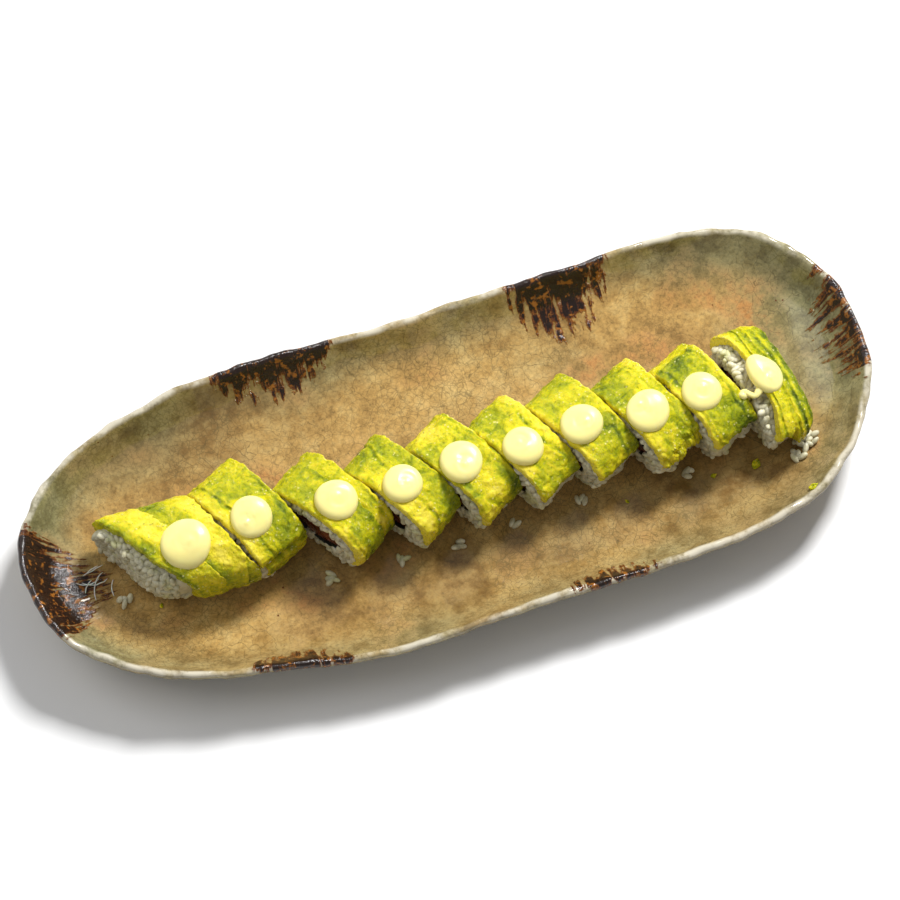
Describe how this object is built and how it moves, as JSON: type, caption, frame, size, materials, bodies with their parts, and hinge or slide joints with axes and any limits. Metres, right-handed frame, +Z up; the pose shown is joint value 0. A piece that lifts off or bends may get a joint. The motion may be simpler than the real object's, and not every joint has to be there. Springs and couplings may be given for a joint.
{
  "type": "uramaki roll on a dish",
  "caption": "Sliced uramaki roll topped with avocado and dollops of mayonnaise, lying in echelon on a long oval hand-made glazed stoneware dish with a raised wavy rim.",
  "frame": {"origin": "centre of the bounding box at the bottom face of the dish's foot", "axes": "+X along the dish towards the roll's right end, +Y to the back, the side the slices' tops lean away from, +Z up"},
  "size_m": [0.3386, 0.133, 0.0463],
  "materials": {
    "stoneware": "glossy crackled glaze",
    "rice": "moist, faceted grains",
    "nori": "damp satin sheet",
    "filling": "moist satin",
    "avocado": "moist satin",
    "mayonnaise": "smooth, softly glossy"
  },
  "bodies": {
    "root": {"dish": "stoneware", "rice_01": "rice", "nori_01": "nori", "filling_01": "filling", "avocado_01a": "avocado", "avocado_01b": "avocado", "mayonnaise_01": "mayonnaise", "rice_02": "rice", "nori_02": "nori", "filling_02": "filling", "avocado_02a": "avocado", "avocado_02b": "avocado", "mayonnaise_02": "mayonnaise", "rice_03": "rice", "nori_03": "nori", "filling_03": "filling", "avocado_03a": "avocado", "avocado_03b": "avocado", "mayonnaise_03": "mayonnaise", "rice_04": "rice", "nori_04": "nori", "filling_04": "filling", "avocado_04a": "avocado", "mayonnaise_04": "mayonnaise", "rice_05": "rice", "nori_05": "nori", "filling_05": "filling", "avocado_05a": "avocado", "mayonnaise_05": "mayonnaise", "rice_06": "rice", "nori_06": "nori", "filling_06": "filling", "avocado_06a": "avocado", "mayonnaise_06": "mayonnaise", "rice_07": "rice", "nori_07": "nori", "filling_07": "filling", "avocado_07a": "avocado", "mayonnaise_07": "mayonnaise", "rice_08": "rice", "nori_08": "nori", "filling_08": "filling", "avocado_08a": "avocado", "mayonnaise_08": "mayonnaise", "rice_09": "rice", "nori_09": "nori", "filling_09": "filling", "avocado_09a": "avocado", "avocado_09b": "avocado", "mayonnaise_09": "mayonnaise", "rice_10": "rice", "nori_10": "nori", "filling_10": "filling", "avocado_10a": "avocado", "avocado_10b": "avocado", "mayonnaise_10": "mayonnaise"}
  },
  "joints": []
}
